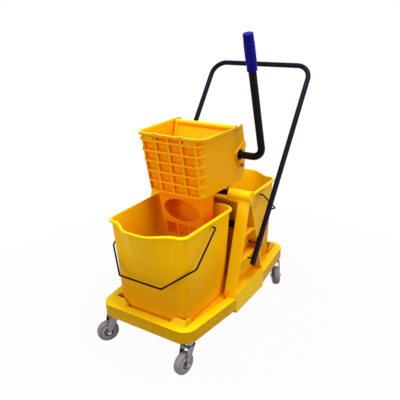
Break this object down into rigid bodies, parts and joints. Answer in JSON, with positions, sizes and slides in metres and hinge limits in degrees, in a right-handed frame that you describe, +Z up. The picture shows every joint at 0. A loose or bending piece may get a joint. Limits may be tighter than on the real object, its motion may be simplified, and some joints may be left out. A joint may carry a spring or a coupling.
{
  "type": "double mop bucket trolley",
  "caption": "Wheeled cleaning trolley with front and rear lift-out buckets, a lever-operated mop wringer between them, a bent tube push handle and swivel casters.",
  "frame": {"origin": "middle of the whole object's footprint, on the floor", "axes": "+Z up, +X towards the lever side, -Y towards the front bucket's pouring lip"},
  "size_m": [0.4538, 0.8562, 1.0054],
  "materials": {
    "yellow_plastic": "satin moulded",
    "cap_plastic": "satin moulded",
    "black_paint": "gloss powder coat",
    "lever_paint": "matte powder coat",
    "black_plastic": "matte",
    "dark_steel": "blackened",
    "zinc_steel": "zinc plated",
    "blue_grip": "knurled soft grip",
    "grey_tyre": "solid rubber",
    "grey_hub": "moulded",
    "navy_guard": "thread guard"
  },
  "bodies": {
    "frame": {"front_tray": "yellow_plastic", "rear_tray": "yellow_plastic", "frame_screws": "dark_steel", "side_stand_left": "yellow_plastic", "side_stand_right": "yellow_plastic", "boss_caps": "cap_plastic", "upper_cross_tube": "black_paint", "lower_cross_tube": "black_paint", "push_handle": "black_paint", "handle_bolts": "dark_steel", "handle_nuts": "dark_steel", "handle_plugs": "black_plastic", "caster_stems": "zinc_steel", "caster_races": "zinc_steel"},
    "front_bucket": {"front_bucket": "yellow_plastic"},
    "front_bail": {"front_bail": "black_paint"},
    "rear_bucket": {"rear_bucket": "yellow_plastic"},
    "rear_bail": {"rear_bail": "black_paint"},
    "wringer": {"wringer_hopper": "yellow_plastic", "wringer_skirt": "yellow_plastic", "lever_bushes": "black_plastic", "stop_bolt": "dark_steel", "hinge_rod": "zinc_steel"},
    "press": {"press_plate": "yellow_plastic"},
    "lever": {"lever_tube": "lever_paint", "lever_grip": "blue_grip", "crank_arms": "dark_steel", "crank_pins": "zinc_steel"},
    "fork_fl": {"fork_fl": "zinc_steel", "axle_bolt_fl": "zinc_steel", "axle_nut_fl": "zinc_steel"},
    "wheel_fl": {"tyre_fl": "grey_tyre", "hub_fl": "grey_hub", "guards_fl": "navy_guard"},
    "fork_fr": {"fork_fr": "zinc_steel", "axle_bolt_fr": "zinc_steel", "axle_nut_fr": "zinc_steel"},
    "wheel_fr": {"tyre_fr": "grey_tyre", "hub_fr": "grey_hub", "guards_fr": "navy_guard"},
    "fork_rl": {"fork_rl": "zinc_steel", "axle_bolt_rl": "zinc_steel", "axle_nut_rl": "zinc_steel"},
    "wheel_rl": {"tyre_rl": "grey_tyre", "hub_rl": "grey_hub", "guards_rl": "navy_guard"},
    "fork_rr": {"fork_rr": "zinc_steel", "axle_bolt_rr": "zinc_steel", "axle_nut_rr": "zinc_steel"},
    "wheel_rr": {"tyre_rr": "grey_tyre", "hub_rr": "grey_hub", "guards_rr": "navy_guard"}
  },
  "joints": [
    {"name": "front_bucket_lift", "type": "slide", "parent": "frame", "child": "front_bucket", "axis": [0, 0, 1], "range_m": [0, 0.03]},
    {"name": "front_bail_swing", "type": "hinge", "parent": "front_bucket", "child": "front_bail", "pos_m": [-0.00485, -0.2114, 0.433], "axis": [-1, 0, 0], "range_deg": [0, 120]},
    {"name": "rear_bucket_lift", "type": "slide", "parent": "frame", "child": "rear_bucket", "axis": [0, 0, 1], "range_m": [0, 0.03]},
    {"name": "rear_bail_swing", "type": "hinge", "parent": "rear_bucket", "child": "rear_bail", "pos_m": [-0.00485, 0.1226, 0.433], "axis": [1, 0, 0], "range_deg": [0, 140]},
    {"name": "wringer_lift", "type": "slide", "parent": "frame", "child": "wringer", "axis": [0, 0, 1], "range_m": [0, 0.15]},
    {"name": "lever_pull", "type": "hinge", "parent": "wringer", "child": "lever", "pos_m": [-0.00485, 0.0044, 0.6097], "axis": [-1, 0, 0], "range_deg": [0, 66]},
    {"name": "press_swing", "type": "hinge", "parent": "wringer", "child": "press", "pos_m": [-0.00485, -0.0944, 0.521], "axis": [1, 0, 0], "range_deg": [0, 36.3]},
    {"name": "swivel_fl", "type": "hinge", "parent": "frame", "child": "fork_fl", "pos_m": [-0.15885, -0.3634, 0.096], "axis": [0, 0, 1], "continuous": true},
    {"name": "roll_fl", "type": "hinge", "parent": "fork_fl", "child": "wheel_fl", "pos_m": [-0.17316, -0.3863, 0.0375], "axis": [-0.848, 0.5299, 0], "continuous": true},
    {"name": "swivel_fr", "type": "hinge", "parent": "frame", "child": "fork_fr", "pos_m": [0.14915, -0.3634, 0.096], "axis": [0, 0, 1], "continuous": true},
    {"name": "roll_fr", "type": "hinge", "parent": "fork_fr", "child": "wheel_fr", "pos_m": [0.14586, -0.3902, 0.0375], "axis": [-0.9925, 0.1219, 0], "continuous": true},
    {"name": "swivel_rl", "type": "hinge", "parent": "frame", "child": "fork_rl", "pos_m": [-0.15885, 0.2746, 0.096], "axis": [0, 0, 1], "continuous": true},
    {"name": "roll_rl", "type": "hinge", "parent": "fork_rl", "child": "wheel_rl", "pos_m": [-0.1537, 0.2481, 0.0375], "axis": [-0.9816, -0.1908, 0], "continuous": true},
    {"name": "swivel_rr", "type": "hinge", "parent": "frame", "child": "fork_rr", "pos_m": [0.14915, 0.2746, 0.096], "axis": [0, 0, 1], "continuous": true},
    {"name": "roll_rr", "type": "hinge", "parent": "fork_rr", "child": "wheel_rr", "pos_m": [0.1654, 0.25304, 0.0375], "axis": [-0.7986, -0.6018, 0], "continuous": true}
  ],
  "couplings": [
    {"joint": "press_swing", "follows": "lever_pull", "ratio": 0.55}
  ]
}
